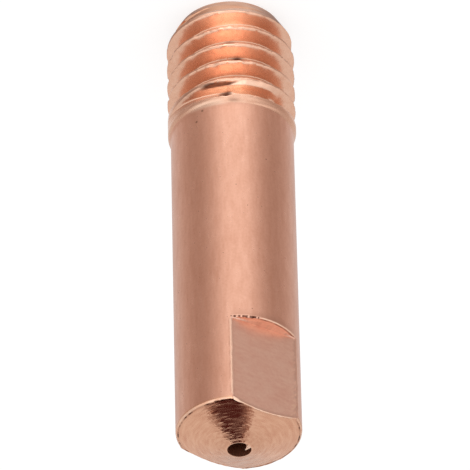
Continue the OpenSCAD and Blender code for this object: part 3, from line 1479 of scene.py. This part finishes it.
    def sheet_paint(self) -> bpy.types.Material:
        """Glow for the graded sheet, which only the metal sees: bright in front, grey at the sides,
        with a bright patch, and darker near the tip's foot as a painted shadow.

        Returns:
            The paint.
        """
        made, tree = new_material("graded_grey_card")
        place = add_node(tree, "ShaderNodeTexCoord").outputs["Object"]
        turn = math.radians(90 - AZIMUTH + self.sheet_turn)
        turned = add_node(tree, "ShaderNodeMapping", {
            "Vector": place, "Rotation": (0, 0, turn)}).outputs[0]
        ring = add_node(tree, "ShaderNodeTexGradient", {0: turned},
                        gradient_type="RADIAL").outputs["Fac"]
        sums = {"ring": ring}
        for name, middle in (("away", 0.5), ("beside", 0.5 + self.patch_turn)):
            sums = add_sums(tree, (
                (name, "SUBTRACT", ("ring", middle)),
                (name, "ABSOLUTE", (name,)),
                (name, "MULTIPLY", (name, 2.0)),
            ), sums)
        ramp = add_node(tree, "ShaderNodeValToRGB", {0: sums["away"]})
        ramp.color_ramp.interpolation = "B_SPLINE"
        points = ramp.color_ramp.elements
        while len(points) < len(self.sheet_levels):
            points.new(0.5)
        for point, (stop, level) in zip(points, self.sheet_levels):
            point.position = stop
            warmth = (1 - min(level, 1)) * (stop < self.sheet_warm_end)
            point.color = (level, level * (1 - self.sheet_warm_green * warmth),
                           level * (1 - self.sheet_warm_blue * warmth), 1.0)
        reach = add_node(tree, "ShaderNodeVectorMath", {0: place},
                         operation="LENGTH").outputs["Value"]
        # Near the tip's foot the sheet glows less: a painted shadow of the tip, as its metal sees
        # it.
        for name, source, unit, (start, stop, first, last) in (
                ("near", reach, MM, self.sheet_near), ("far", reach, MM, self.sheet_far),
                ("patch", reach, MM, self.sheet_patch), ("begun", reach, MM, self.sheet_begun),
                ("narrow", sums["beside"], 1.0, (*self.patch_half, 1.0, 0.0))):
            sums[name] = add_node(tree, "ShaderNodeMapRange", {
                "Value": source, "From Min": start * unit, "From Max": stop * unit,
                "To Min": first, "To Max": last},
                interpolation_type="SMOOTHSTEP").outputs["Result"]
        shade = add_sums(tree, (
            ("shade", "MULTIPLY", ("near", "far")),
            ("extra", "MULTIPLY", ("patch", "begun")),
            ("extra", "MULTIPLY_ADD", ("extra", "narrow", 1.0)),
            ("shade", "MULTIPLY", ("shade", "extra")),
        ), sums)["shade"]
        glow = add_node(tree, "ShaderNodeEmission", {
            "Color": ramp.outputs[0], "Strength": shade}).outputs[0]
        add_node(tree, "ShaderNodeOutputMaterial", {0: glow})
        return made

    def graded_sheet(self) -> bpy.types.Object:
        """Lay a graded grey sheet round the foot of the tip.

        Returns:
            The sheet.
        """
        count = self.sheet_sides
        points = [(r * math.cos(a), r * math.sin(a), self.sheet_height)
                  for r in (self.sheet_inner, self.sheet_outer)
                  for a in np.linspace(0, math.tau, count, endpoint=False)]
        faces = [(i, i + count, (i + 1) % count + count, (i + 1) % count) for i in range(count)]
        return self.card("graded_sheet", points, faces, self.sheet_paint())

    def overhead_strip(self) -> bpy.types.Object:
        """Hang a narrow dark strip over the nose, along the line of sight.

        Returns:
            The strip.
        """
        made, tree = new_material("dark_card")
        side = Vector((-self.ahead.y, self.ahead.x, 0))
        place = add_node(tree, "ShaderNodeTexCoord").outputs["Object"]
        across = add_node(tree, "ShaderNodeVectorMath", {0: place, 1: side},
                          operation="DOT_PRODUCT").outputs["Value"]
        off = add_sums(tree, (
            ("off", "SUBTRACT", ("across", self.strip_shift * MM)),
            ("off", "ABSOLUTE", ("off",)),
        ), {"across": across})["off"]
        edge = add_node(tree, "ShaderNodeMapRange", {
            "Value": off, "From Min": self.strip_dark * MM, "From Max": self.strip_half * MM,
            "To Min": 0.0, "To Max": 1.0}, interpolation_type="SMOOTHSTEP").outputs["Result"]
        paint = add_node(tree, "ShaderNodeMixRGB", {
            "Fac": edge, "Color1": linear(self.strip_middle),
            "Color2": linear(self.strip_edge)}).outputs[0]
        glow = add_node(tree, "ShaderNodeEmission", {"Color": paint, "Strength": 1.0}).outputs[0]
        add_node(tree, "ShaderNodeOutputMaterial", {0: glow})
        corners = []
        half = self.strip_half
        for along, aside in ((self.strip_near, -half), (self.strip_near, half),
                             (self.strip_far, half), (self.strip_far, -half)):
            corner = self.ahead * along + side * (aside + self.strip_shift)
            corners.append((corner.x, corner.y, self.strip_height))
        return self.card("overhead_strip", corners, [(0, 1, 2, 3)], made)

    def world(self) -> None:
        """Set a white world, plain as light and white to the eye."""
        world = bpy.data.worlds.new("white_studio")
        bpy.context.scene.world = world
        world.use_nodes = True
        tree = world.node_tree
        tree.nodes.clear()
        eye = add_node(tree, "ShaderNodeLightPath").outputs["Is Camera Ray"]
        towards = add_node(tree, "ShaderNodeTexCoord").outputs["Generated"]
        facing = add_node(tree, "ShaderNodeVectorMath", {0: towards, 1: self.ahead},
                          operation="DOT_PRODUCT").outputs["Value"]
        front = add_node(tree, "ShaderNodeMapRange", {
            "Value": facing, "From Min": self.front_from, "From Max": self.front_to,
            "To Min": self.world_level, "To Max": self.front_level},
            interpolation_type="SMOOTHSTEP").outputs["Result"]
        level = add_sums(tree, (
            ("light", "SUBTRACT", (1.0, "eye")),
            ("level", "MULTIPLY_ADD", ("front", "light", "eye")),
        ), {"eye": eye, "front": front})["level"]
        sky = add_node(tree, "ShaderNodeBackground", {
            "Color": linear("#ffffff"), "Strength": level}).outputs[0]
        add_node(tree, "ShaderNodeOutputWorld", {0: sky})

    def lamp(self) -> None:
        """Hang one large soft lamp in front of the tip and above it."""
        data = bpy.data.lights.new("soft_box", "AREA")
        data.shape, data.size, data.energy = "DISK", self.lamp_size, self.lamp_power
        lamp = bpy.data.objects.new("soft_box", data)
        lamp.location = self.ahead * self.lamp_away + Vector((0, 0, self.lamp_height))
        lamp.rotation_mode = "QUATERNION"
        lamp.rotation_quaternion = (-lamp.location).to_track_quat("-Z", "Y")
        bpy.context.scene.collection.objects.link(lamp)

    def build(self) -> None:
        """Set up the whole studio."""
        self.camera()
        self.floor()
        self.graded_sheet()
        self.overhead_strip()
        self.world()
        self.lamp()
        bpy.context.scene.view_settings.view_transform = "Standard"


def main() -> None:
    """Build the tip and its studio, and report each piece."""
    logging.basicConfig(level=logging.INFO, format="%(name)s: %(message)s")
    sizes = TipSizes.from_frame()
    piece = ContactTip(sizes).build()
    LOG.info("%s has %d faces", piece.name, len(piece.data.polygons))
    Studio(sizes).build()
    LOG.info("studio is set")


if __name__ == "__main__":
    main()
